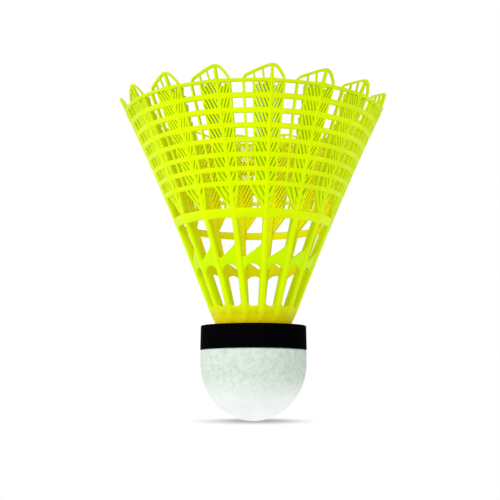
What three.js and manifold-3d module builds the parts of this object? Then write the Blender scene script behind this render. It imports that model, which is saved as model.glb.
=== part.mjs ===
// Badminton shuttlecock with a moulded nylon skirt and a covered cork base.
// Millimetres. The axis is Z: the nose of the base is at the origin and the rim of the skirt is on top.
// Angles run round the axis from -Y towards +X, so a growing angle moves right on the side that faces -Y.
import * as THREE from 'three';
import { mergeVertices } from 'three/addons/utils/BufferGeometryUtils.js';
import Module from 'manifold-3d';

const wasm = await Module();
wasm.setup();

// Fit: the clearance between neighbouring pieces, and the distance within which vertices are one
const GAP = 0.3;
const SAME_POINT = 1e-4;

// Base: a dome below a short straight wall
const BASE_RADIUS = 12.45;
const DOME_HEIGHT = 13.5;
const COVER_THICKNESS = 0.5;
const COVER_TOP = 16.3;
const BAND_TOP = 22.1;
const BAND_LOW_RADIUS = 12.5;
const BAND_TOP_RADIUS = 12.4;
const BAND_THICKNESS = 0.4;
const CORE_TOP = 22.0;
const BASE_SEGMENTS = 36;
const DOME_STEPS = 10;

// Skirt: outer profile, stem and floor
const SEAT_HEIGHT = CORE_TOP + GAP;
const NECK_RADIUS = 9.2;
const TAPER = 0.395;
const RIM_FLARE = 1.6;
const RIM_HEIGHT = 73.0;
const FLOOR_TOP = 24.0;
const NECK_WALL = 1.2;
const STEM_RADIUS = 5.4;
const STEM_BOTTOM = 14.5;
const STEM_CHAMFER = 0.6;
const POCKET_RADIUS = 3.4;
const POCKET_TOP = 18.2;

// Skirt: ribs, each with a ridge on its lower part. They twist round the axis as they rise, and less so
// towards the rim.
const RIB_COUNT = 16;
const FIRST_RIB_DEG = 11.7;
const TWIST_DEG_PER_MM = -0.157;
const TWIST_EASE = 0.00142;
const RIB_FOOT_WIDTH = 1.6;
const RIB_RIM_WIDTH = 0.95;
const RIB_STEPS = 6;
const RIDGE_BOTTOM = SEAT_HEIGHT + 0.6;
const RIDGE_TOP = 49.0;
const RIDGE_DEPTH = 0.9;
const RIDGE_STEPS = 2;
const NECK_SEGMENTS = 2 * RIB_COUNT;

// Skirt: sheet between two ribs. Below the gusset is an arched window and above it a slanted one.
const SHEET_INSET = 0.25;
const SHEET_THICKNESS = 0.9;
const SHEET_BOTTOM = FLOOR_TOP - 0.4;
const LOW_WINDOW_BOTTOM = 26.0;
const LOW_WINDOW_CORNER = 33.7;
const LOW_WINDOW_TOP = 35.1;
const GUSSET_TOP_LEFT = 37.15;
const GUSSET_TOP_RIGHT = 40.1;
const GUSSET_CURVE = 1.35;
const WIDE_RING_BOTTOM = 45.1;
const WIDE_RING_TOP = 47.1;
const ARC_STEPS = 6;

// Skirt: net rings, and the strut that opens from each rib to the left below the first of them
const NET_RING_COUNT = 8;
const FIRST_RING_HEIGHT = 52.3;
const RING_PITCH = 2.94;
const RING_HEIGHT = 1.0;
const CELL_BOW = 0.08;
const STRUT_WIDTH = 0.5;
const STRUT_REACH = 3.8;
const STRUT_FOOT_SIDE = 0.8;

// Skirt: petals that stand on the top ring, one for each rib
const PETAL_LEFT = 6.2;
const PETAL_RIGHT = 2.9;
const PETAL_HEIGHT = 3.1;
const PETAL_LEAN = 0.5;
const PETAL_BULGE = 0.35;
const PETAL_FRAME = 0.6;
const PETAL_CORNER = 1.2;
const PETAL_STRUTS = [-3.8, -1.9, 0];
const PETAL_STRUT_WIDTH = 0.5;
const LEFT_EDGE_SHARES = [0, 0.1, 0.3, 0.6, 0.8, 1];
const RIGHT_EDGE_SHARES = [1, 0.9, 0.7, 0.4, 0];

// Inner pieces
const GLUE_THICKNESS = 0.4;
const GLUE_BOTTOM = 15.0;
const BORE_BOTTOM = STEM_BOTTOM - GAP;
const SLUG_BOTTOM = STEM_BOTTOM + 0.1;

const degrees = THREE.MathUtils.degToRad;
const mix = THREE.MathUtils.lerp;

// Outer profile of the skirt. Above the top ring the petals lean out in a straight line.
function skirtRadius(z) {
  const rise = Math.min(z, RIM_HEIGHT) - SEAT_HEIGHT;
  const flare = RIM_FLARE * (rise / (RIM_HEIGHT - SEAT_HEIGHT)) ** 3;
  return NECK_RADIUS + TAPER * rise + flare + PETAL_LEAN * Math.max(z - RIM_HEIGHT, 0);
}

function turn(index, z) {
  const pitch = 360 / RIB_COUNT;
  const rise = z - SEAT_HEIGHT;
  return degrees(FIRST_RIB_DEG + index * pitch + TWIST_DEG_PER_MM * rise + TWIST_EASE * rise ** 2);
}

function ribWidth(z) {
  return mix(RIB_FOOT_WIDTH, RIB_RIM_WIDTH, (z - SEAT_HEIGHT) / (RIM_HEIGHT - SEAT_HEIGHT));
}

function halfPitch(z) {
  return (Math.PI * skirtRadius(z)) / RIB_COUNT;
}

function halfGap(z) {
  return halfPitch(z) - ribWidth(z) / 2;
}

function around(angle, radius, z) {
  return new THREE.Vector3(radius * Math.sin(angle), -radius * Math.cos(angle), z);
}

// Moves every vertex of a geometry to the place that a function gives for it.
function bend(geometry, place) {
  const position = geometry.attributes.position;
  for (let i = 0; i < position.count; i += 1) {
    const target = place(position.getX(i), position.getY(i), position.getZ(i));
    position.setXYZ(i, target.x, target.y, target.z);
  }
  return geometry;
}

function toSolid(geometry) {
  geometry.deleteAttribute('normal');
  geometry.deleteAttribute('uv');
  const merged = mergeVertices(geometry, SAME_POINT);
  return new wasm.Manifold(new wasm.Mesh({
    numProp: 3,
    vertProperties: new Float32Array(merged.attributes.position.array),
    triVerts: new Uint32Array(merged.index.array),
  }));
}

function toGeometry(solid) {
  const mesh = solid.getMesh();
  const geometry = new THREE.BufferGeometry();
  geometry.setAttribute('position', new THREE.BufferAttribute(mesh.vertProperties, 3));
  geometry.setIndex(new THREE.BufferAttribute(mesh.triVerts, 1));
  geometry.computeVertexNormals();
  return geometry;
}

// A solid of revolution about Z. The outline is a list of [radius, height] that runs so that the
// material is on its left, and it starts and ends on the axis or closes on itself.
function revolve(outline, segments) {
  const points = outline.map(([radius, z]) => new THREE.Vector2(radius, z));
  return new THREE.LatheGeometry(points, segments).rotateX(Math.PI / 2);
}

// Points of the dome from the nose up to the start of its straight wall, at a distance inside its surface.
function dome(inset) {
  const points = [];
  for (let i = 0; i <= DOME_STEPS; i += 1) {
    const angle = (i / DOME_STEPS) * Math.PI / 2;
    const radius = (BASE_RADIUS - inset) * Math.sin(angle);
    points.push([radius, DOME_HEIGHT - (DOME_HEIGHT - inset) * Math.cos(angle)]);
  }
  return points;
}

function coverGeometry() {
  const outside = dome(0);
  const inside = dome(COVER_THICKNESS).reverse();
  return revolve([
    ...outside,
    [BASE_RADIUS, COVER_TOP],
    [BASE_RADIUS - COVER_THICKNESS, COVER_TOP],
    ...inside,
  ], BASE_SEGMENTS);
}

function coreGeometry() {
  const inset = COVER_THICKNESS + GAP;
  const bore = STEM_RADIUS + GLUE_THICKNESS + 2 * GAP;
  return revolve([
    ...dome(inset),
    [BASE_RADIUS - inset, CORE_TOP - GAP],
    [BASE_RADIUS - inset - GAP, CORE_TOP],
    [bore, CORE_TOP],
    [bore, BORE_BOTTOM],
    [0, BORE_BOTTOM],
  ], BASE_SEGMENTS);
}

function bandGeometry() {
  const bottom = COVER_TOP + GAP;
  return revolve([
    [BAND_LOW_RADIUS - BAND_THICKNESS, bottom],
    [BAND_LOW_RADIUS, bottom],
    [BAND_TOP_RADIUS, BAND_TOP],
    [BAND_TOP_RADIUS - BAND_THICKNESS, BAND_TOP],
    [BAND_LOW_RADIUS - BAND_THICKNESS, bottom],
  ], BASE_SEGMENTS);
}

function adhesiveGeometry() {
  const inner = STEM_RADIUS + GAP;
  const outer = inner + GLUE_THICKNESS;
  const top = CORE_TOP - GAP;
  return revolve([
    [inner, GLUE_BOTTOM],
    [outer, GLUE_BOTTOM],
    [outer, top],
    [inner, top],
    [inner, GLUE_BOTTOM],
  ], BASE_SEGMENTS);
}

function slugGeometry() {
  const radius = POCKET_RADIUS - GAP;
  const top = POCKET_TOP - GAP;
  return revolve([
    [0, SLUG_BOTTOM],
    [radius, SLUG_BOTTOM],
    [radius, top],
    [0, top],
  ], BASE_SEGMENTS);
}

// Stem, floor and the plain neck, turned as one piece.
function neckSolid() {
  const neckTop = LOW_WINDOW_BOTTOM;
  return toSolid(revolve([
    [0, POCKET_TOP],
    [POCKET_RADIUS, POCKET_TOP],
    [POCKET_RADIUS, STEM_BOTTOM],
    [STEM_RADIUS - STEM_CHAMFER, STEM_BOTTOM],
    [STEM_RADIUS, STEM_BOTTOM + STEM_CHAMFER],
    [STEM_RADIUS, SEAT_HEIGHT],
    [skirtRadius(SEAT_HEIGHT), SEAT_HEIGHT],
    [skirtRadius(neckTop), neckTop],
    [skirtRadius(neckTop) - NECK_WALL, neckTop],
    [skirtRadius(FLOOR_TOP) - NECK_WALL, FLOOR_TOP],
    [0, FLOOR_TOP],
  ], NECK_SEGMENTS));
}

// The sheet between two ribs is drawn flat: x is the distance from the middle of the gap and y is the
// height. A side runs from -1 at the left rib's edge to 1 at the right rib's edge.
function across(side, z) {
  return new THREE.Vector2(side * halfGap(z), z);
}

function fromLeftRib(distance, z) {
  return new THREE.Vector2(distance - halfPitch(z), z);
}

function fromRightRib(distance, z) {
  return new THREE.Vector2(distance + halfPitch(z), z);
}

// Ring edges bow a little between the ribs, so that each ring is thickest at a rib.
function bowed(point) {
  return point.setY(point.y + CELL_BOW * (1 - (point.x / halfPitch(point.y)) ** 2));
}

function sides(steps) {
  return Array.from({ length: steps + 1 }, (_, i) => (2 * i) / steps - 1);
}

function opening(low, high, steps) {
  const foot = sides(steps).map((side) => across(side, low(side)));
  const head = sides(steps).reverse().map((side) => across(side, high(side)));
  return new THREE.Path([...foot, ...head]);
}

function lowWindow() {
  const round = halfGap(LOW_WINDOW_BOTTOM);
  const low = (side) => LOW_WINDOW_BOTTOM + round * (1 - Math.sqrt(1 - side ** 2));
  const high = (side) => mix(LOW_WINDOW_TOP, LOW_WINDOW_CORNER, side ** 2);
  return opening(low, high, ARC_STEPS);
}

function highWindow() {
  const slope = (side) => mix(GUSSET_TOP_LEFT, GUSSET_TOP_RIGHT, ((side + 1) / 2) ** GUSSET_CURVE);
  const top = (side) => WIDE_RING_BOTTOM + CELL_BOW * (1 - side ** 2);
  return opening(slope, top, 2);
}

// The two openings below the first net ring: a wide one, and a triangle between the strut and its rib.
function strutWindows() {
  const low = WIDE_RING_TOP;
  const high = FIRST_RING_HEIGHT - RING_HEIGHT / 2;
  const strutTop = halfPitch(high) - STRUT_REACH;
  const corner = low + STRUT_WIDTH;
  return [
    new THREE.Path([
      across(-1, low),
      across(STRUT_FOOT_SIDE, low),
      bowed(new THREE.Vector2(strutTop - STRUT_WIDTH / 2, high)),
      bowed(across(-1, high)),
    ]),
    new THREE.Path([
      across(1, corner),
      bowed(across(1, high)),
      bowed(new THREE.Vector2(strutTop + STRUT_WIDTH / 2, high)),
    ]),
  ];
}

function netCell(row) {
  const low = FIRST_RING_HEIGHT + row * RING_PITCH + RING_HEIGHT / 2;
  const high = low + RING_PITCH - RING_HEIGHT;
  const bow = (side) => CELL_BOW * (1 - side ** 2);
  return opening((side) => low - bow(side), (side) => high + bow(side), 2);
}

// Height of a petal's outer edge above the top ring at a distance to the right of its rib. The left
// edge falls off in a slightly bulging line and the right one in a quarter of an ellipse.
function petalEdge(x) {
  if (x < 0) {
    const share = -x / PETAL_LEFT;
    return PETAL_HEIGHT * (1 - share) * (1 + PETAL_BULGE * share);
  }
  return PETAL_HEIGHT * Math.sqrt(1 - (x / PETAL_RIGHT) ** 2);
}

// Openings of the petal halves in one gap: left of the gap is the right half of one petal, and right of
// the gap is the left half of the next. Struts part them.
function petalOpenings() {
  const inner = PETAL_STRUT_WIDTH / 2;
  const outer = PETAL_RIGHT - PETAL_FRAME;
  const bound = (x) => RIM_HEIGHT + Math.max(petalEdge(x) - PETAL_FRAME, 2 * CELL_BOW);
  const openings = [new THREE.Path([
    bowed(fromLeftRib(inner, RIM_HEIGHT)),
    bowed(fromLeftRib(outer, RIM_HEIGHT)),
    fromLeftRib(outer - inner, bound(outer - inner)),
    fromLeftRib(PETAL_RIGHT / 2, bound(PETAL_RIGHT / 2)),
    fromLeftRib(inner, bound(inner)),
  ])];
  const feet = [PETAL_CORNER - PETAL_LEFT - inner, ...PETAL_STRUTS];
  for (let i = 0; i < PETAL_STRUTS.length; i += 1) {
    const from = feet[i] + inner;
    const to = feet[i + 1] - inner;
    openings.push(new THREE.Path([
      bowed(fromRightRib(from, RIM_HEIGHT)),
      bowed(fromRightRib(to, RIM_HEIGHT)),
      fromRightRib(to, bound(to)),
      fromRightRib(from, bound(from)),
    ]));
  }
  return openings;
}

// The upper edge of the sheet from the right rib's centre to the left rib's centre.
function petalRim() {
  const leftHalf = LEFT_EDGE_SHARES.map((share) => -share * PETAL_LEFT);
  const rightHalf = RIGHT_EDGE_SHARES.map((share) => share * PETAL_RIGHT);
  return [
    ...leftHalf.map((x) => fromRightRib(x, RIM_HEIGHT + petalEdge(x))),
    ...rightHalf.map((x) => fromLeftRib(x, RIM_HEIGHT + petalEdge(x))),
  ];
}

function sheetShape() {
  const heights = Array.from({ length: RIB_STEPS + 1 }, (_, i) => mix(SHEET_BOTTOM, RIM_HEIGHT, i / RIB_STEPS));
  const rightEnd = heights.map((z) => fromRightRib(0, z));
  const leftEnd = heights.map((z) => fromLeftRib(0, z)).reverse();
  const shape = new THREE.Shape([...rightEnd, ...petalRim(), ...leftEnd]);
  shape.holes.push(lowWindow(), highWindow(), ...strutWindows(), ...petalOpenings());
  for (let row = 0; row < NET_RING_COUNT - 1; row += 1) {
    shape.holes.push(netCell(row));
  }
  return shape;
}

// All the sheets in one closed wall. Neighbours share the edge on their rib's centre line, so the two
// faces that would meet there are left out.
function wallSolid() {
  const flat = new THREE.ExtrudeGeometry(sheetShape(), { depth: SHEET_THICKNESS, bevelEnabled: false });
  const points = flat.attributes.position;
  const onEnd = (i) => Math.abs(points.getX(i)) > halfPitch(points.getY(i)) - SAME_POINT;
  const onLeft = (i) => onEnd(i) && points.getX(i) < 0;
  const onRight = (i) => onEnd(i) && points.getX(i) > 0;
  const corners = [];
  for (let i = 0; i < points.count; i += 3) {
    const triangle = [i, i + 1, i + 2];
    if (!triangle.every(onLeft) && !triangle.every(onRight)) {
      corners.push(...triangle);
    }
  }
  const places = [];
  for (let index = 0; index < RIB_COUNT; index += 1) {
    for (const corner of corners) {
      const z = points.getY(corner);
      const x = points.getX(corner);
      const side = onEnd(corner) ? Math.sign(x) : x / halfPitch(z);
      const radius = skirtRadius(z) - SHEET_INSET - SHEET_THICKNESS + points.getZ(corner);
      places.push(...around(turn(index + 0.5 + side / 2, z), radius, z).toArray());
    }
  }
  const wall = new THREE.BufferGeometry();
  wall.setAttribute('position', new THREE.Float32BufferAttribute(places, 3));
  return toSolid(wall);
}

// The ridge that stands out along the lower part of a rib.
function ridgeSolid(index) {
  const geometry = new THREE.BoxGeometry(1, 1, 1, 1, 1, RIDGE_STEPS);
  return toSolid(bend(geometry, (x, y, along) => {
    const z = mix(RIDGE_BOTTOM, RIDGE_TOP, along + 0.5);
    const radius = skirtRadius(z);
    return around(turn(index, z) + (x * ribWidth(z)) / radius, radius - (y + 0.5) * RIDGE_DEPTH, z);
  }));
}

function skirtGeometry() {
  let skirt = neckSolid().add(wallSolid());
  for (let i = 0; i < RIB_COUNT; i += 1) {
    skirt = skirt.add(ridgeSolid(i));
  }
  return toGeometry(skirt);
}

const nylon = new THREE.MeshStandardMaterial({ color: 0xc8f000, roughness: 0.45, metalness: 0 });
const leather = new THREE.MeshStandardMaterial({ color: 0xf2f4f2, roughness: 0.55, metalness: 0 });
const cork = new THREE.MeshStandardMaterial({ color: 0xc09a6a, roughness: 0.9, metalness: 0 });
const tape = new THREE.MeshStandardMaterial({ color: 0x141414, roughness: 0.6, metalness: 0 });
const glue = new THREE.MeshStandardMaterial({ color: 0xe6dfc0, roughness: 0.4, metalness: 0 });
const steel = new THREE.MeshStandardMaterial({ color: 0x9a9da0, roughness: 0.4, metalness: 1 });

function namedMesh(name, geometry, material) {
  const mesh = new THREE.Mesh(geometry, material);
  mesh.name = name;
  return mesh;
}

const shuttlecock = new THREE.Group();
shuttlecock.add(
  namedMesh('skirt', skirtGeometry(), nylon),
  namedMesh('cover', coverGeometry(), leather),
  namedMesh('cork_core', coreGeometry(), cork),
  namedMesh('band', bandGeometry(), tape),
  namedMesh('adhesive_ring', adhesiveGeometry(), glue),
  namedMesh('ballast_slug', slugGeometry(), steel),
);

export default shuttlecock;
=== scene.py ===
"""Looks for the badminton shuttlecock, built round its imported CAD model."""
import math

import bmesh
import bpy
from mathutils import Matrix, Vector, noise


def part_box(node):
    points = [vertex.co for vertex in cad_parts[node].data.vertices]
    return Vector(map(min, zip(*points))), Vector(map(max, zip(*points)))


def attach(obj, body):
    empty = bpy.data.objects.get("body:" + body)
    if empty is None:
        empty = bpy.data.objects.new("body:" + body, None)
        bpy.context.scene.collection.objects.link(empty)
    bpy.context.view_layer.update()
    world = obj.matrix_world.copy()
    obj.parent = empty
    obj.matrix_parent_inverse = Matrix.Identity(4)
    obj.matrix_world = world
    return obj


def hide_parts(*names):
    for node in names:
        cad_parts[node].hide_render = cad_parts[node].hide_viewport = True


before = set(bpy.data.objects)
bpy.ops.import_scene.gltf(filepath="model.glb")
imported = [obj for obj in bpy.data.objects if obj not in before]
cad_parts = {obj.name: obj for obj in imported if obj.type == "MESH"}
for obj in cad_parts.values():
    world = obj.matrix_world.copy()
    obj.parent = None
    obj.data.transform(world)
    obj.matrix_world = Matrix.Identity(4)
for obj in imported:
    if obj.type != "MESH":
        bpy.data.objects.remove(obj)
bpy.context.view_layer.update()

# Shapes below are worked out in millimetres in the frame's own axes and stored in metres.
MM = 0.001
ROOT = "root"


def box_mm(node):
    low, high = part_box(node)
    return [value / MM for value in low], [value / MM for value in high]


skirt_low, skirt_high = box_mm("skirt")
cover_high = box_mm("cover")[1]
band_low, band_high = box_mm("band")
core_high = box_mm("cork_core")[1]

# Skirt: outer profile. The skirt sits a hair above the core, as it does in the CAD.
SEAT = core_high[2] + 0.3
TIP = skirt_high[2]
PETAL_HEIGHT = 3.1
RIM = TIP - PETAL_HEIGHT
NECK_RADIUS = 9.2
TAPER = 0.395
RIM_FLARE = 1.6
PETAL_LEAN = 0.5
PETAL_TUCK = 0.7

# Skirt: stem, floor and neck
FLOOR_TOP = SEAT + 1.7
NECK_TOP = SEAT + 3.7
NECK_WALL = 1.1
NECK_INSET = 0.4
STEM_RADIUS = 5.4
STEM_BOTTOM = skirt_low[2]
POCKET_RADIUS = 3.4
POCKET_TOP = STEM_BOTTOM + 3.7
ROUND = 0.5
LIP_ROUND = 0.35
AXIS_HOLE = 0.02

# Skirt: ribs
RIB_COUNT = 16
FIRST_RIB = math.radians(11.7)
TWIST = math.radians(-0.157)
TWIST_EASE = math.radians(0.00142)
PITCH = 2 * math.pi / RIB_COUNT
RIB_FOOT_WIDTH = 2.0
RIB_RIM_WIDTH = 0.8
RIB_FOOT_DEPTH = 2.2
RIB_RIM_DEPTH = 1.05
RIB_FOOT_INSET = 0.22
TIP_DEPTH_SHARE = 0.65
TIP_WIDTH_SHARE = 0.75

# Skirt: windows, gussets and rings
LOW_WINDOW_LEFT = SEAT + 11.1
LOW_WINDOW_RIGHT = SEAT + 11.7
LOW_WINDOW_TOP = SEAT + 13.0
GUSSET_LEFT = SEAT + 14.3
GUSSET_RIGHT = SEAT + 17.4
GUSSET_CURVE = 1.35
WIDE_RING_LOW = SEAT + 22.8
WIDE_RING_HIGH = SEAT + 24.8
FIRST_RING = SEAT + 29.95
RING_PITCH = 2.94
RING_COUNT = 8
RING_HEIGHT = 1.05
TOP_RING_HEIGHT = 0.65
RING_FILLET = 0.22
WIDE_RING_FILLET = 0.4
WIDE_RING_INSET = 0.1
WIDE_RING_DEPTH = 0.85
WEB_INSET = 0.35
WEB_DEPTH = 0.85
RING_INSET = 0.14
RING_DEPTH = 0.9

# Skirt: petals. A strut is (distance of its foot, distance of its tip, rise above the rim).
PETAL_WIDTH = 0.58
PETAL_DEPTH = 0.6
PETAL_STRUTS = [(-3.75, -3.95, 1.5), (-1.65, -2.15, 2.3)]
STRUT_WIDTH = 0.42
STRUT_DEPTH = 0.5
STRUT_INSET = RING_INSET + 0.06

# Skirt: vanes. Distances run along the surface from the rib, negative to the left.
VANE_FOOT = WIDE_RING_HIGH - 0.4
LEFT_START = -0.4
LEFT_KNEE = -4.05
LEFT_RIM = -6.2
RIGHT_START = 0.4
RIGHT_KNEE = 1.75
RIGHT_RIM = 2.85
INNER_SHARE = 0.64
EDGE_WIDTH = 0.6
EDGE_INSET = RING_INSET + 0.05
INNER_WIDTH = 0.45
INNER_INSET = RING_INSET + 0.07
FILAMENT_DEPTH = 0.95
BARB_WIDTH = 0.56
BARB_INSET = 0.15
BARB_FOOT_DEPTH = 0.9
BARB_RIM_DEPTH = 1.8
BARB_DEEP_RISE = 14.0
BACK_TOP = FIRST_RING + 3 * RING_PITCH
BACK_INSET = 0.8
BACK_DEPTH = 0.3
BARB_STEP = 1.75
BARB_POINTS = 1.1
FIRST_LEFT_BARB = 0.9
FIRST_RIGHT_BARB = 1.6
BARB_FOOT_SLOPE = 0.64
LEFT_SLOPE = 0.48
RIGHT_SLOPE = 0.42


def mix(a, b, share):
    return a + (b - a) * share


def profile(z):
    """Outer radius of the skirt at a height; the petals above the rim lean out in a straight line."""
    rise = min(z, RIM) - SEAT
    flare = RIM_FLARE * (rise / (RIM - SEAT)) ** 3
    return NECK_RADIUS + TAPER * rise + flare + PETAL_LEAN * max(z - RIM, 0.0)


def rib_angle(index, z):
    rise = z - SEAT
    return FIRST_RIB + index * PITCH + TWIST * rise + TWIST_EASE * rise ** 2


def rib_share(z):
    return min(1.0, max(0.0, (z - SEAT) / (RIM - SEAT)))


def rib_width(z):
    return mix(RIB_FOOT_WIDTH, RIB_RIM_WIDTH, rib_share(z))


def on_skirt(angle, z, inset):
    """A point under the skirt's outer surface, in millimetres."""
    radius = profile(z) - inset
    return (radius * math.sin(angle), -radius * math.cos(angle), z)


class Solids:
    """Closed solids collected into one mesh."""

    def __init__(self):
        self.points = []
        self.faces = []

    def loft(self, sections, closed=False):
        """Skins a list of equal loops of points; a closed loft joins its last loop to its first."""
        start = len(self.points)
        size = len(sections[0])
        for section in sections:
            self.points.extend(section)
        count = len(sections)
        for i in range(count if closed else count - 1):
            here = start + i * size
            there = start + ((i + 1) % count) * size
            for k in range(size):
                after = (k + 1) % size
                self.faces.append((here + k, here + after, there + after, there + k))
        if not closed:
            self.faces.append(tuple(start + k for k in reversed(range(size))))
            self.faces.append(tuple(start + (count - 1) * size + k for k in range(size)))

    def build(self, name):
        mesh = bpy.data.meshes.new(name)
        mesh.from_pydata([tuple(MM * value for value in point) for point in self.points], [], self.faces)
        mesh.validate()
        work = bmesh.new()
        work.from_mesh(mesh)
        bmesh.ops.recalc_face_normals(work, faces=work.faces)
        work.to_mesh(mesh)
        work.free()
        piece = bpy.data.objects.new(name, mesh)
        bpy.context.scene.collection.objects.link(piece)
        return piece


# A section is a loop of (across from -1 to 1, deep from 0 at the outside to 1).

def rounded_section(chamfer_across, chamfer_deep):
    """Eight corners of a chamfered box."""
    a, d = 1.0 - chamfer_across, chamfer_deep
    return [(-a, 0.0), (a, 0.0), (1.0, d), (1.0, 1.0 - d), (a, 1.0), (-a, 1.0), (-1.0, 1.0 - d), (-1.0, d)]


BAR = rounded_section(0.35, 0.22)
RIB = [(-0.35, 0.0), (0.35, 0.0), (0.72, 0.1), (1.0, 0.38), (0.95, 0.85), (0.7, 1.0),
       (-0.7, 1.0), (-0.95, 0.85), (-1.0, 0.38), (-0.72, 0.1)]


def size_at(size, z):
    return size(z) if callable(size) else size


def bar(solids, index, route, width, inset, depth, section=BAR, tuck=0.0):
    """A bar that follows (distance from the rib along the surface, height) points. Width, inset and
    depth are numbers or functions of height. A tuck moves its left end in."""
    loops = []
    for i, (distance, z) in enumerate(route):
        before = route[max(i - 1, 0)]
        after = route[min(i + 1, len(route) - 1)]
        along = Vector((after[0] - before[0], after[1] - before[1])).normalized()
        side = Vector((along.y, -along.x))
        loop = []
        for across, deep in section:
            offset = across * size_at(width, z) / 2
            x = distance + side.x * offset
            height = z + side.y * offset
            angle = rib_angle(index, height) + x / profile(height)
            curl = tuck * max(0.0, x / LEFT_RIM)
            loop.append(on_skirt(angle, height, size_at(inset, z) + curl + deep * size_at(depth, z)))
        loops.append(loop)
    solids.loft(loops)


HOOP = [(-0.8, 0.0), (0.8, 0.0), (1.0, 0.22), (0.9, 0.7),
        (0.5, 1.0), (-0.65, 1.0), (-0.95, 0.75), (-1.0, 0.22)]


def hoop(solids, low, high, inset, depth, fillet):
    """A ring round the skirt. Fillets thicken it towards each rib."""
    steps = RIB_COUNT * 12
    loops = []
    for i in range(steps):
        angle = 2 * math.pi * i / steps
        side = 2 * (((angle - rib_angle(0, (low + high) / 2)) / PITCH) % 1.0) - 1
        half = (high - low) / 2 + fillet * abs(side) ** 6
        heights_here = [(low + high) / 2 + across * half for across, _ in HOOP]
        loops.append([on_skirt(angle, z, inset + deep * depth) for z, (_, deep) in zip(heights_here, HOOP)])
    solids.loft(loops, closed=True)


# In a web's section the distances from its edges are in millimetres, doubled.
WEB = [(-0.6, 0.0), (0.7, 0.0), (1.0, 0.2), (0.95, 0.6), (0.3, 1.0), (-0.4, 1.0), (-0.95, 0.7), (-1.0, 0.2)]


def panel(solids, index, low, high, steps, inset, depth):
    """A web across the gap to the right of a rib, between two heights given for sides -1 to 1."""
    loops = []
    for i in range(steps + 1):
        side = 2.0 * i / steps - 1.0
        bottom, top = low(side), high(side)
        loop = []
        for across, deep in WEB:
            z = mix(bottom, top, 0.5 + 0.5 * math.copysign(1 - (1 - abs(across)) / (top - bottom), across))
            gap = math.pi / RIB_COUNT - (rib_width(z) / 2 - 0.25) / profile(z)
            loop.append(on_skirt(rib_angle(index + 0.5, z) + side * gap, z, inset + deep * depth))
        loops.append(loop)
    solids.loft(loops)


def turned(solids, outline, steps):
    """A closed outline of (radius, height) points turned round the axis."""
    solids.loft([[(radius * math.sin(angle), -radius * math.cos(angle), z) for radius, z in outline]
                 for angle in (2 * math.pi * i / steps for i in range(steps))], closed=True)


def arc(cx, cz, radius, start, end, steps):
    """Points on a round corner of an outline, angles in degrees from the outward direction."""
    angles = [math.radians(mix(start, end, i / steps)) for i in range(steps + 1)]
    return [(cx + radius * math.cos(a), cz + radius * math.sin(a)) for a in angles]


# ---------------------------------------------------------------- skirt

def neck():
    """Stem, floor and plain neck. A tiny hole on the axis keeps the turned faces whole."""
    solids = Solids()
    foot = profile(SEAT) - NECK_INSET
    top = profile(NECK_TOP) - NECK_INSET
    outline = [(AXIS_HOLE, POCKET_TOP), (POCKET_RADIUS, POCKET_TOP), (POCKET_RADIUS, STEM_BOTTOM)]
    outline += arc(STEM_RADIUS - ROUND, STEM_BOTTOM + ROUND, ROUND, -90, 0, 4)
    outline += [(STEM_RADIUS, SEAT)]
    outline += arc(foot - LIP_ROUND, SEAT + LIP_ROUND, LIP_ROUND, -90, -20, 4)
    outline += [(mix(foot, top, 0.5), mix(SEAT, NECK_TOP, 0.5)), (top, NECK_TOP)]
    outline += [(top - NECK_WALL, NECK_TOP)]
    inner = profile(FLOOR_TOP) - NECK_INSET - NECK_WALL
    outline += arc(inner - ROUND, FLOOR_TOP + ROUND, ROUND, 0, -90, 4)
    outline += [(AXIS_HOLE, FLOOR_TOP)]
    turned(solids, outline, RIB_COUNT * 6)
    return solids


def ribs():
    solids = Solids()
    steps = 26
    low = SEAT + 0.5
    high = TIP - 0.35

    def petal_share(z):
        return max(0.0, z - RIM) / PETAL_HEIGHT

    def depth(z):
        return mix(RIB_FOOT_DEPTH, RIB_RIM_DEPTH, rib_share(z)) * mix(1.0, TIP_DEPTH_SHARE, petal_share(z))

    def width(z):
        return rib_width(z) * mix(1.0, TIP_WIDTH_SHARE, petal_share(z))

    def inset(z):
        return RIB_FOOT_INSET * max(0.0, 1.0 - (z - low) / 2.0)

    for index in range(RIB_COUNT):
        route = [(0.0, mix(low, high, i / steps)) for i in range(steps + 1)]
        bar(solids, index, route, width, inset, depth, RIB)
    return solids


def window_top(side):
    corner = LOW_WINDOW_LEFT if side < 0 else LOW_WINDOW_RIGHT
    return mix(LOW_WINDOW_TOP, corner, abs(side) ** 2.2)


def gusset_top(side):
    rise = ((side + 1) / 2) ** GUSSET_CURVE
    return mix(GUSSET_LEFT, GUSSET_RIGHT, rise) + 0.35 * abs(side) ** 8


def webs():
    """The foot webs under the low windows and the gussets above them."""
    solids = Solids()
    for index in range(RIB_COUNT):
        panel(solids, index, lambda s: FLOOR_TOP + 0.3, lambda s: NECK_TOP + 0.1 + 0.9 * abs(s) ** 3,
              12, WEB_INSET, WEB_DEPTH)
        panel(solids, index, window_top, gusset_top, 12, WEB_INSET, WEB_DEPTH)
    return solids


def rings():
    solids = Solids()
    hoop(solids, WIDE_RING_LOW, WIDE_RING_HIGH, WIDE_RING_INSET, WIDE_RING_DEPTH, WIDE_RING_FILLET)
    for k in range(RING_COUNT):
        middle = FIRST_RING + k * RING_PITCH
        height = TOP_RING_HEIGHT if k == RING_COUNT - 1 else RING_HEIGHT
        hoop(solids, middle - height / 2, middle + height / 2, RING_INSET, RING_DEPTH, RING_FILLET)
    return solids


def vane_edge(z, start, knee, rim):
    """Distance of a vane's edge from its rib: it opens fast up to the first net ring, then slowly."""
    if z < FIRST_RING:
        return mix(start, knee, (z - VANE_FOOT) / (FIRST_RING - VANE_FOOT))
    return mix(knee, rim, (z - FIRST_RING) / (RIM - FIRST_RING))


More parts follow.
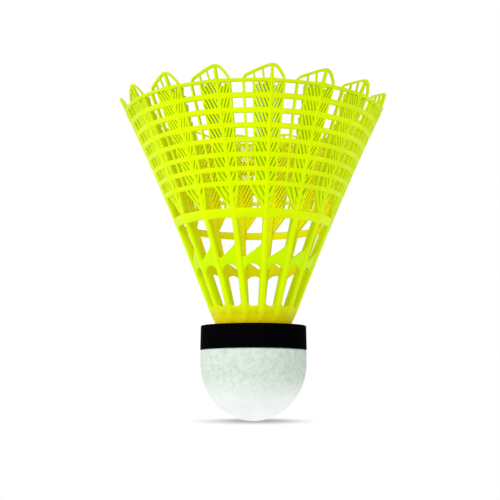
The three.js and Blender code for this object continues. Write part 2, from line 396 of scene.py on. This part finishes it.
def left_edge(z):
    return vane_edge(z, LEFT_START, LEFT_KNEE, LEFT_RIM)


def right_edge(z):
    return vane_edge(z, RIGHT_START, RIGHT_KNEE, RIGHT_RIM)


def inner_edge(z):
    return INNER_SHARE * left_edge(z)


def heights(low, high, step):
    count = max(2, round((high - low) / step))
    return [mix(low, high, i / count) for i in range(count + 1)]


def vane_edges():
    solids = Solids()
    levels = heights(VANE_FOOT, FIRST_RING, 1.3) + heights(FIRST_RING, RIM, 2.2)[1:]
    for index in range(RIB_COUNT):
        for edge in (left_edge, right_edge):
            route = [(edge(z), z) for z in levels]
            bar(solids, index, route, EDGE_WIDTH, EDGE_INSET, FILAMENT_DEPTH)
    return solids


def inner_filaments():
    solids = Solids()
    levels = heights(WIDE_RING_HIGH - 0.1, RIM, 2.2)
    for index in range(RIB_COUNT):
        route = [(inner_edge(z), z) for z in levels]
        bar(solids, index, route, INNER_WIDTH, INNER_INSET, FILAMENT_DEPTH)
    return solids


def barb_depth(z):
    return mix(BARB_FOOT_DEPTH, BARB_RIM_DEPTH, min(1.0, (z - WIDE_RING_HIGH) / BARB_DEEP_RISE))


def barb(solids, index, foot, slope, edge):
    """A filament that leaves the rib at a height and climbs outwards until it meets the edge."""
    sign = math.copysign(1.0, edge(foot + 1.0))
    steeper = min(1.0, (foot - WIDE_RING_HIGH) / (2 * (FIRST_RING - WIDE_RING_HIGH)))
    slope = mix(BARB_FOOT_SLOPE, slope, steeper)
    route = []
    z = foot
    while z < RIM:
        distance = sign * slope * (z - foot)
        if abs(distance) > abs(edge(z)):
            route.append((edge(z), z))
            break
        route.append((distance, z))
        z += BARB_POINTS
    if len(route) > 1:
        bar(solids, index, route, BARB_WIDTH, BARB_INSET, barb_depth)


def barbs(side):
    solids = Solids()
    slope = LEFT_SLOPE if side < 0 else RIGHT_SLOPE
    edge = inner_edge if side < 0 else right_edge
    first = WIDE_RING_HIGH + (FIRST_LEFT_BARB if side < 0 else FIRST_RIGHT_BARB)
    for index in range(RIB_COUNT):
        for k in range(int((RIM - first) / BARB_STEP) + 1):
            barb(solids, index, first + k * BARB_STEP, slope, edge)
    return solids


def vane_backs():
    """Thin webs that close the lower barbs from the inside."""
    solids = Solids()
    columns = 5
    for index in range(RIB_COUNT):
        loops = []
        for z in heights(WIDE_RING_HIGH - 0.2, FIRST_RING, 1.3) + heights(FIRST_RING + 0.4, BACK_TOP, 2.0):
            left = left_edge(z) if z <= FIRST_RING else inner_edge(z)
            across = [mix(left, right_edge(z), i / columns) for i in range(columns + 1)]
            angles = [rib_angle(index, z) + x / profile(z) for x in across]
            outer = [on_skirt(angle, z, BACK_INSET) for angle in angles]
            inner = [on_skirt(angle, z, BACK_INSET + BACK_DEPTH) for angle in angles]
            loops.append(outer + inner[::-1])
        solids.loft(loops)
    return solids


def petal_route():
    """Middle line of a petal's rim from its left foot over the tip to its right foot."""
    left, right = LEFT_RIM, RIGHT_RIM
    high = PETAL_HEIGHT - 0.3
    points = [(left, -0.2), (left + 0.1, 0.5), (left + 0.55, 0.95), (left * 0.7, 1.45), (left * 0.4, 2.15),
              (left * 0.2, 2.55), (-0.5, high - 0.05), (0.3, high), (0.95, high - 0.25), (1.6, 2.0),
              (2.1, 1.35), (right - 0.25, 0.6), (right - 0.1, -0.2)]
    return [(x, RIM + y) for x, y in points]


def petals():
    solids = Solids()
    for index in range(RIB_COUNT):
        bar(solids, index, petal_route(), PETAL_WIDTH, RING_INSET, PETAL_DEPTH, tuck=PETAL_TUCK)
    return solids


def petal_struts():
    solids = Solids()
    for index in range(RIB_COUNT):
        for foot, tip, rise in PETAL_STRUTS:
            route = [(foot, RIM - 0.1), (tip, RIM + rise)]
            bar(solids, index, route, STRUT_WIDTH, STRUT_INSET, STRUT_DEPTH, tuck=PETAL_TUCK)
    return solids


def joined(name, groups):
    """Unites groups of solids; the solids of one group don't touch each other."""
    base = groups[0].build(name)
    for i, group in enumerate(groups[1:]):
        other = group.build(f"{name}_{i}")
        modifier = base.modifiers.new("unite", "BOOLEAN")
        modifier.operation = "UNION"
        modifier.solver = "MANIFOLD"
        modifier.object = other
        bpy.context.view_layer.update()
        result = bpy.data.meshes.new_from_object(base.evaluated_get(bpy.context.evaluated_depsgraph_get()))
        base.modifiers.clear()
        old = base.data
        base.data = result
        bpy.data.meshes.remove(old)
        bpy.data.objects.remove(other)
    return base


def drop_crumbs(mesh):
    """Removes the specks the unions leave beside the one large body."""
    work = bmesh.new()
    work.from_mesh(mesh)
    left = set(work.verts)
    bodies = []
    while left:
        reach = [left.pop()]
        body = list(reach)
        while reach:
            near = {edge.other_vert(vert) for vert in [reach.pop()] for edge in vert.link_edges} & left
            left -= near
            reach += near
            body += near
        bodies.append(body)
    largest = max(bodies, key=len)
    crumbs = [vert for body in bodies if body is not largest for vert in body]
    bmesh.ops.delete(work, geom=crumbs, context="VERTS")
    work.to_mesh(mesh)
    work.free()


def make_skirt():
    groups = [neck(), ribs(), webs(), rings(), vane_edges(), inner_filaments(), vane_backs(),
              barbs(-1), barbs(1), petals(), petal_struts()]
    skirt = joined("nylon_skirt", groups)
    drop_crumbs(skirt.data)
    skirt.data.shade_smooth()
    skirt.data.set_sharp_from_angle(angle=math.radians(38))
    return skirt


# ---------------------------------------------------------------- leather cover

DOME_HEIGHT = 13.5
DOME_ROWS = 150
SIDE_ROWS = 20
COVER_COLUMNS = 480
LEATHER_THICKNESS = 0.45
TUCK_RADIUS = 0.42
TUCK_RISE = 0.45
WRINKLE_DEPTH = 0.085
WRINKLE_START = 4.5
WRINKLE_RISE = 6.0
EDGE_FADE = 1.2
SWELL_DEPTH = 0.05


def stroke(u, z, lean, seed):
    """Short strokes that lean by an angle, from 0 beside a stroke to 1 in its middle."""
    along = u * math.cos(lean) + z * math.sin(lean)
    beside = z * math.cos(lean) - u * math.sin(lean)
    line = 1.0 - abs(noise.noise(Vector((along * 0.8, beside * 2.6, seed)))) / 0.17
    gaps = noise.noise(Vector((along * 0.7, beside * 0.8, seed + 20.0))) * 4.0 + 0.6
    return max(0.0, line) * min(1.0, max(0.0, gaps))


def furrow(angle, z):
    """Depth of the leather's short crossing wrinkles, from 0 on a pad to 1 in a furrow."""
    turned_back = angle - 2 * math.pi if angle > math.pi else angle
    u = turned_back * cover_high[0]
    joint = min(1.0, (math.pi - abs(turned_back)) / 0.1)
    return joint * max(stroke(u, z, math.radians(-38), 3.0), 0.85 * stroke(u, z, math.radians(24), 11.0))


def cover_outline():
    """The cover's outside from the nose up to the edge tucked in behind the band."""
    radius, top = cover_high[0], cover_high[2] - 0.2
    points = []
    for i in range(1, DOME_ROWS + 1):
        t = math.pi / 2 * i / DOME_ROWS
        points.append((radius * math.sin(t), DOME_HEIGHT * (1.0 - math.cos(t))))
    points += [(radius, mix(DOME_HEIGHT, top, i / SIDE_ROWS)) for i in range(1, SIDE_ROWS + 1)]
    points += arc(radius - TUCK_RADIUS, top, TUCK_RADIUS, 15, 90, 5)
    points += [(radius - TUCK_RADIUS, top + TUCK_RADIUS + TUCK_RISE)]
    return points


def cover_lining():
    """The cover's inside from the tucked edge back down to the nose."""
    radius, top = cover_high[0] - LEATHER_THICKNESS, cover_high[2] - 0.2
    height = DOME_HEIGHT - LEATHER_THICKNESS
    points = [(radius - 0.25, top + TUCK_RADIUS + TUCK_RISE), (radius - 0.2, top), (radius, top - 0.4)]
    for i in range(24):
        t = math.pi / 2 * i / 24
        points.append((radius * math.cos(t), DOME_HEIGHT - height * math.sin(t)))
    return points


def make_cover():
    outline = cover_outline()
    vertices = [(0.0, 0.0, 0.0)]
    furrows = [0.0]
    for row, (radius, z) in enumerate(outline):
        before = outline[max(row - 1, 0)]
        after = outline[min(row + 1, len(outline) - 1)]
        out = Vector((after[1] - before[1], before[0] - after[0])).normalized()
        edge_fade = min(1.0, max(0.0, (cover_high[2] + 0.3 - z) / EDGE_FADE))
        nose_fade = min(1.0, max(0.0, (z - WRINKLE_START) / WRINKLE_RISE))
        for column in range(COVER_COLUMNS):
            angle = 2 * math.pi * column / COVER_COLUMNS
            place = Vector((radius * math.sin(angle), -radius * math.cos(angle), z))
            swell = 0.5 + 0.5 * noise.noise(place * 0.45)
            furrows.append(nose_fade * furrow(angle, z))
            inset = edge_fade * (WRINKLE_DEPTH * furrows[-1] + SWELL_DEPTH * swell * min(1.0, z / 4))
            r, h = radius - out.x * inset, z - out.y * inset
            vertices.append((r * math.sin(angle) * MM, -r * math.cos(angle) * MM, h * MM))
    for radius, z in cover_lining():
        for column in range(COVER_COLUMNS):
            angle = 2 * math.pi * column / COVER_COLUMNS
            vertices.append((radius * math.sin(angle) * MM, -radius * math.cos(angle) * MM, z * MM))
    vertices.append((0.0, 0.0, LEATHER_THICKNESS * MM))
    faces = []
    rows = len(outline) + len(cover_lining())
    for column in range(COVER_COLUMNS):
        after = (column + 1) % COVER_COLUMNS
        faces.append((0, 1 + after, 1 + column))
        for row in range(rows - 1):
            low, high = 1 + row * COVER_COLUMNS, 1 + (row + 1) * COVER_COLUMNS
            faces.append((low + column, low + after, high + after, high + column))
        last = 1 + (rows - 1) * COVER_COLUMNS
        faces.append((last + column, last + after, len(vertices) - 1))
    mesh = bpy.data.meshes.new("leather_cover")
    mesh.from_pydata(vertices, [], faces)
    mesh.shade_smooth()
    # The furrow depths are also kept for the leather material, which paints shade into the creases with
    # them.
    marks = mesh.attributes.new("furrow", "FLOAT", "POINT")
    marks.data.foreach_set("value", furrows + [0.0] * (len(vertices) - len(furrows)))
    piece = bpy.data.objects.new("leather_cover", mesh)
    bpy.context.scene.collection.objects.link(piece)
    return piece


# ---------------------------------------------------------------- tape band

BAND_STEPS = 240
BAND_INNER = 0.4
BAND_EDGE = 0.13
BAND_CORNER = 0.2
BAND_ROWS = 6
BAND_TAPER = 0.1
BAND_FOLD = 0.65
FOLD_THICKNESS = 0.12
TAPE_STEP = 0.1
TAPE_OVERLAP = (math.radians(150), math.radians(178))
TAPE_WOBBLE = 0.05
TAPE_DIP = 0.14


def make_band():
    """A wrapped tape: its end lies over its start at the back and its top edge folds in over the cork."""
    solids = Solids()
    loops = []
    low_radius, top_radius = band_high[0], band_high[0] - BAND_TAPER
    for i in range(BAND_STEPS):
        angle = 2 * math.pi * i / BAND_STEPS
        raised = TAPE_STEP if TAPE_OVERLAP[0] < angle < TAPE_OVERLAP[1] else 0.0
        wobble = TAPE_WOBBLE * noise.noise(Vector((3 * math.sin(angle), 3 * math.cos(angle), 0.0)))
        low, top = band_low[2] + wobble - TAPE_DIP * math.sin(angle) ** 2, band_high[2]
        outer_low, outer_top = low_radius + raised, top_radius + raised
        outline = [(low_radius - BAND_INNER, low)]
        outline += arc(outer_low - BAND_EDGE, low + BAND_EDGE, BAND_EDGE, -90, 0, 3)
        corner = top - BAND_CORNER
        shares = [k / BAND_ROWS for k in range(1, BAND_ROWS)]
        outline += [(mix(outer_low, outer_top, k), mix(low + BAND_EDGE, corner, k)) for k in shares]
        outline += arc(outer_top - BAND_CORNER, corner, BAND_CORNER, 0, 90, 5)
        outline += [(top_radius - BAND_FOLD, top), (top_radius - BAND_FOLD, top - FOLD_THICKNESS)]
        outline += [(top_radius - BAND_INNER, corner)]
        loops.append([(r * math.sin(angle), -r * math.cos(angle), z) for r, z in outline])
    solids.loft(loops, closed=True)
    band = solids.build("tape_band")
    band.data.shade_smooth()
    band.data.set_sharp_from_angle(angle=math.radians(50))
    return band


# ---------------------------------------------------------------- materials

class Material:
    """A node material with its own principled shader."""

    def __init__(self, name):
        self.material = bpy.data.materials.new(name)
        self.material.use_nodes = True
        self.tree = self.material.node_tree
        self.shader = self.tree.nodes["Principled BSDF"]

    def add(self, kind, inputs=None, **settings):
        node = self.tree.nodes.new(kind)
        for name, value in settings.items():
            setattr(node, name, value)
        for name, value in (inputs or {}).items():
            self.put(node.inputs[name], value)
        return node

    def put(self, socket, value):
        """Sets an input to a value, or links it when the value is a socket."""
        if isinstance(value, bpy.types.NodeSocket):
            self.tree.links.new(value, socket)
        else:
            socket.default_value = value

    def set(self, **inputs):
        for name, value in inputs.items():
            self.put(self.shader.inputs[name.replace("_", " ")], value)

    def noise(self, size_mm, detail=3.0, vector=None):
        """Noise from 0 to 1 with features of a size in millimetres."""
        node = self.add("ShaderNodeTexNoise", {"Scale": 1000.0 / size_mm, "Detail": detail})
        self.put(node.inputs["Vector"], vector or self.place())
        return node.outputs["Fac"]

    def place(self):
        return self.add("ShaderNodeTexCoord").outputs["Object"]

    def math(self, operation, a, b=0.0, clamp=False):
        return self.add("ShaderNodeMath", {0: a, 1: b}, operation=operation, use_clamp=clamp).outputs[0]

    def span(self, value, low, high, to_low=0.0, to_high=1.0):
        """Maps a value from one range to another and holds it at the ends."""
        node = self.add("ShaderNodeMapRange", {"Value": value, "From Min": low, "From Max": high,
                                               "To Min": to_low, "To Max": to_high})
        return node.outputs["Result"]

    def blend(self, share, a, b):
        node = self.add("ShaderNodeMix", data_type="RGBA")
        self.put(node.inputs[0], share)
        self.put(node.inputs[6], a)
        self.put(node.inputs[7], b)
        return node.outputs[2]

    def bump(self, height, distance_mm, strength=1.0):
        node = self.add("ShaderNodeBump", {"Height": height, "Distance": distance_mm * MM,
                                           "Strength": strength})
        return node.outputs["Normal"]


def height_mm(material):
    split = material.add("ShaderNodeSeparateXYZ", {0: material.place()})
    return material.math("MULTIPLY", split.outputs["Z"], 1.0 / MM)


def off_axis(material):
    """The part of a place's vector that is square to the axis."""
    return material.add("ShaderNodeVectorMath", {0: material.place(), 1: (1.0, 1.0, 0.0)},
                        operation="MULTIPLY").outputs[0]


def outwardness(material):
    """How far a surface faces away from the axis: 1 straight outwards, -1 straight inwards."""
    radial = material.add("ShaderNodeVectorMath", {0: off_axis(material)}, operation="NORMALIZE")
    normal = material.add("ShaderNodeTexCoord").outputs["Normal"]
    return material.add("ShaderNodeVectorMath", {0: radial.outputs[0], 1: normal},
                        operation="DOT_PRODUCT").outputs["Value"]


NYLON_CROWN = (0.71, 0.91, 0.0, 1.0)
NYLON_WEB = (0.58, 0.88, 0.0, 1.0)
# Painted shade: the duller colour put on the sides of the bars and towards the petal tips.
NYLON_PAINTED_SHADE = (0.58, 0.74, 0.002, 1.0)
# Painted shade: the amber put on faces that turn in towards the axis.
NYLON_INSIDE_SHADE = (0.84, 0.80, 0.003, 1.0)
NYLON_NECK = (0.96, 0.84, 0.006, 1.0)


def nylon():
    """Fluorescent moulded nylon: fresh yellow-green outside, greener in the sunk webs and ambered towards
    the neck.
    Painted shade dulls the sides of the bars, ambers the faces turned inwards and darkens the petal tips; a
    faint emission adds a painted glow."""
    m = Material("nylon")
    high = height_mm(m)
    radius = m.add("ShaderNodeVectorMath", {0: off_axis(m)}, operation="LENGTH").outputs["Value"]
    cone = m.math("MULTIPLY_ADD", high, TAPER)
    m.put(cone.node.inputs[2], NECK_RADIUS - TAPER * SEAT)
    sunk = m.math("SUBTRACT", cone, m.math("MULTIPLY", radius, 1.0 / MM))
    outside = m.blend(m.span(sunk, -0.1, 0.4), NYLON_CROWN, NYLON_WEB)
    facing = outwardness(m)
    # Painted shade: faces that turn sideways from the axis get the duller colour.
    body = m.blend(m.span(facing, 0.15, 0.75), NYLON_PAINTED_SHADE, outside)
    # Painted shade: faces turned towards the axis get the amber colour.
    body = m.blend(m.span(facing, 0.1, -0.6), body, NYLON_INSIDE_SHADE)
    body = m.blend(m.span(high, SEAT, SEAT + 6.0, 0.85, 0.0), body, NYLON_NECK)
    # Painted shade: the skirt darkens towards the petal tips with the duller side colour.
    body = m.blend(m.span(high, RIM - 5.0, RIM + 0.5, 0.0, 0.6), body, NYLON_PAINTED_SHADE)
    cloud = m.span(m.noise(6.0), 0.3, 0.7, 0.95, 1.03)
    tint = m.add("ShaderNodeVectorMath", {0: body}, operation="SCALE")
    m.put(tint.inputs["Scale"], cloud)
    m.set(Base_Color=tint.outputs[0], Roughness=m.span(m.noise(1.2), 0.3, 0.7, 0.38, 0.5))
    m.set(Specular_IOR_Level=0.15, Specular_Tint=(0.7, 0.95, 0.05, 1.0))
    # Painted glow: a faint emission lifts the shade, standing in for fluorescence and for light passing
    # through the thin plastic.
    m.set(Emission_Color=tint.outputs[0], Emission_Strength=0.07)
    m.set(Normal=m.bump(m.noise(0.35, 4.0), 0.015))
    return m.material


LEATHER_SHADE = (0.84, 0.89, 0.87, 1.0)
LEATHER_LIGHT = (0.9, 0.93, 0.92, 1.0)
# Painted shade: grey-green put on the upper dome, as if under the skirt and lit by light thrown back from
# it.
LEATHER_UPPER_SHADE = (0.65, 0.76, 0.66, 1.0)
# Painted shade: the dark colour put into the wrinkle creases.
LEATHER_CREASE_SHADE = (0.45, 0.56, 0.47, 1.0)


def leather():
    """White coated leather, wrinkled towards the band. Painted shade greys and greens it towards the band
    and darkens its creases; a faint emission adds a painted glow.
    """
    m = Material("leather")
    high = height_mm(m)
    pores = m.span(m.noise(0.3, 4.0), 0.35, 0.6)
    crease_shade_mask = m.add("ShaderNodeAttribute", attribute_name="furrow").outputs["Fac"]
    plain = m.blend(m.span(m.noise(2.5), 0.35, 0.65), LEATHER_SHADE, LEATHER_LIGHT)
    # Painted shade: darker and greener towards the band.
    shaded_upward = m.blend(m.span(high, 5.0, 10.5, 0.0, 0.85), plain, LEATHER_UPPER_SHADE)
    # Painted shade: the deeper a vertex sits in a wrinkle, the darker the colour.
    skin = m.blend(m.math("MULTIPLY", crease_shade_mask, 0.75), shaded_upward, LEATHER_CREASE_SHADE)
    m.set(Base_Color=skin, Roughness=m.span(m.noise(0.8), 0.3, 0.7, 0.5, 0.68), Specular_IOR_Level=0.2)
    # Painted glow: a faint emission lifts the shade on the leather.
    m.set(Normal=m.bump(pores, 0.02, 0.6), Emission_Color=skin, Emission_Strength=0.04)
    return m.material


def tape():
    """Matt black tape with a fine weave along the wrap."""
    m = Material("tape")
    fibres = m.add("ShaderNodeMapping", {"Vector": m.place(), "Scale": (1.0, 1.0, 5.0)})
    weave = m.noise(0.5, 3.0, fibres.outputs[0])
    m.set(Base_Color=m.blend(weave, (0.0006, 0.0006, 0.0007, 1.0), (0.002, 0.002, 0.002, 1.0)))
    m.set(Roughness=m.span(weave, 0.3, 0.7, 0.6, 0.85), Specular_IOR_Level=0.005)
    m.set(Normal=m.bump(weave, 0.03))
    return m.material


def cork():
    """Pressed cork: pale and dark grains with small pits."""
    m = Material("cork")
    cells = m.add("ShaderNodeTexVoronoi", {"Scale": 1000.0 / 1.4, "Vector": m.place()})
    tone = m.add("ShaderNodeSeparateColor", {0: cells.outputs["Color"]}).outputs[0]
    grains = m.blend(tone, (0.46, 0.27, 0.13, 1.0), (0.66, 0.44, 0.25, 1.0))
    pits = m.span(m.noise(0.9, 5.0), 0.32, 0.42)
    m.set(Base_Color=m.blend(pits, (0.16, 0.08, 0.04, 1.0), grains), Roughness=0.85, Specular_IOR_Level=0.2)
    m.set(Normal=m.bump(m.math("ADD", pits, m.math("MULTIPLY", tone, 0.4)), 0.12))
    return m.material


def glue():
    """Set amber glue."""
    m = Material("glue")
    strings = m.noise(1.5, 2.0)
    m.set(Base_Color=m.blend(strings, (0.72, 0.6, 0.3, 1.0), (0.85, 0.76, 0.46, 1.0)))
    m.set(Roughness=m.span(strings, 0.3, 0.7, 0.12, 0.3), Transmission_Weight=0.3)
    m.set(Normal=m.bump(strings, 0.08))
    return m.material


def steel():
    """Turned steel: fine tool rings round the axis."""
    m = Material("steel")
    rings_round = m.add("ShaderNodeTexWave", {"Scale": 1600.0, "Distortion": 0.4, "Vector": m.place()},
                        wave_type="RINGS", rings_direction="Z")
    m.set(Base_Color=m.blend(m.noise(2.0), (0.42, 0.42, 0.43, 1.0), (0.55, 0.55, 0.56, 1.0)), Metallic=1.0)
    m.set(Roughness=m.span(m.noise(0.6), 0.3, 0.7, 0.25, 0.4))
    m.set(Normal=m.bump(rings_round.outputs["Fac"], 0.01))
    return m.material


def dress(piece, material, slot, *nodes):
    """Puts a material on a piece, ties it to the frame's root and lets it stand in for CAD nodes."""
    piece.data.materials.clear()
    piece.data.materials.append(material)
    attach(piece, ROOT)
    if nodes:
        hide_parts(*nodes)


dress(make_skirt(), nylon(), "nylon", "skirt")
dress(make_cover(), leather(), "leather", "cover")
dress(make_band(), tape(), "tape", "band")
for node, material, slot in (("cork_core", cork(), "cork"), ("adhesive_ring", glue(), "glue"),
                             ("ballast_slug", steel(), "steel")):
    piece = bpy.data.objects[node]
    piece.data.materials.clear()
    piece.data.materials.append(material)


# ---------------------------------------------------------------- floor, light and camera

# The floor's shade is a painted grey oval, drawn out front to back, in which the real render shadow also
# falls; it reaches from the first to the second distance, in millimetres; the camera is in metres.
PAINTED_SHADOW_GREY = (0.45, 0.45, 0.45, 1.0)
SHADE_FULL = 1.0
SHADE_END = 16.5
SHADE_OVAL = 0.5
ROOM_LIGHT = 0.62
ROOM_TILT = (-0.26, 0.0, -0.08)
CAMERA_DISTANCE = 0.2485
CAMERA_HEIGHT = 0.0070
CAMERA_PITCH = math.radians(7.6)
CAMERA_LENS = 75.89
CAMERA_SHIFT = -0.007


def floor():
    """A white floor. Only the ground close round the nose shows shade, a painted grey oval in which the
    real render shadow also falls, and all of it lights the object.
    """
    bpy.ops.mesh.primitive_circle_add(vertices=96, radius=6.0, fill_type="NGON", location=(0, 0, 0))
    piece = bpy.context.object
    piece.name = "floor"
    m = Material("floor")
    oval = m.add("ShaderNodeVectorMath", {0: m.place(), 1: (1.0, SHADE_OVAL, 0.0)}, operation="MULTIPLY")
    far = m.add("ShaderNodeVectorMath", {0: oval.outputs[0]}, operation="LENGTH").outputs["Value"]
    glow = m.add("ShaderNodeEmission", {"Color": (1.0, 1.0, 1.0, 1.0), "Strength": 1.0})
    bounce = m.math("SUBTRACT", 1.0, m.add("ShaderNodeLightPath").outputs["Is Camera Ray"])
    # Painted shadow: a dim grey floor near the nose, fading to white emission further out.
    m.set(Base_Color=PAINTED_SHADOW_GREY, Roughness=0.9, Specular_IOR_Level=0.0)
    reach = m.span(far, SHADE_FULL * MM, SHADE_END * MM)
    reach.node.interpolation_type = "SMOOTHSTEP"
    share = m.math("MAXIMUM", reach, bounce)
    both = m.add("ShaderNodeMixShader", {0: share})
    m.put(both.inputs[1], m.shader.outputs[0])
    m.put(both.inputs[2], glow.outputs[0])
    m.put(m.tree.nodes["Material Output"].inputs["Surface"], both.outputs[0])
    piece.data.materials.append(m.material)


def room():
    """A white surround. The light it casts is softer than it looks and stronger from the left."""
    world = bpy.data.worlds.new("room")
    bpy.context.scene.world = world
    world.use_nodes = True
    tree = world.node_tree
    tree.nodes.clear()
    shown = tree.nodes.new("ShaderNodeBackground")
    cast = tree.nodes.new("ShaderNodeBackground")
    for background in (shown, cast):
        background.inputs["Color"].default_value = (1.0, 1.0, 1.0, 1.0)
    coordinates = tree.nodes.new("ShaderNodeTexCoord")
    tilt = tree.nodes.new("ShaderNodeVectorMath")
    tilt.operation = "DOT_PRODUCT"
    tilt.inputs[1].default_value = ROOM_TILT
    level = tree.nodes.new("ShaderNodeMath")
    level.operation = "ADD"
    level.inputs[1].default_value = ROOM_LIGHT
    tree.links.new(coordinates.outputs["Generated"], tilt.inputs[0])
    tree.links.new(tilt.outputs["Value"], level.inputs[0])
    tree.links.new(level.outputs[0], cast.inputs["Strength"])
    path = tree.nodes.new("ShaderNodeLightPath")
    share = tree.nodes.new("ShaderNodeMixShader")
    out = tree.nodes.new("ShaderNodeOutputWorld")
    tree.links.new(path.outputs["Is Camera Ray"], share.inputs[0])
    tree.links.new(cast.outputs[0], share.inputs[1])
    tree.links.new(shown.outputs[0], share.inputs[2])
    tree.links.new(share.outputs[0], out.inputs["Surface"])


def soft_light(name, place, size, power):
    light = bpy.data.lights.new(name, "AREA")
    light.shape = "DISK"
    light.size = size
    light.energy = power
    lamp = bpy.data.objects.new(name, light)
    bpy.context.scene.collection.objects.link(lamp)
    lamp.location = place
    lamp.rotation_euler = (Vector((0, 0, 0.04)) - Vector(place)).to_track_quat("-Z", "Y").to_euler()


floor()
room()
soft_light("key", (-0.25, -0.35, 0.40), 0.3, 1.2)
soft_light("fill", (0.4, -0.25, 0.2), 0.4, 0.2)

lens = bpy.data.cameras.new("camera")
lens.lens = CAMERA_LENS
lens.sensor_width = 36.0
lens.shift_x = CAMERA_SHIFT
lens.clip_start = 0.01
camera = bpy.data.objects.new("camera", lens)
bpy.context.scene.collection.objects.link(camera)
camera.location = (0.0, -CAMERA_DISTANCE, CAMERA_HEIGHT)
camera.rotation_euler = (math.pi / 2 + CAMERA_PITCH, 0.0, 0.0)
bpy.context.scene.camera = camera
bpy.context.scene.view_settings.view_transform = "Standard"
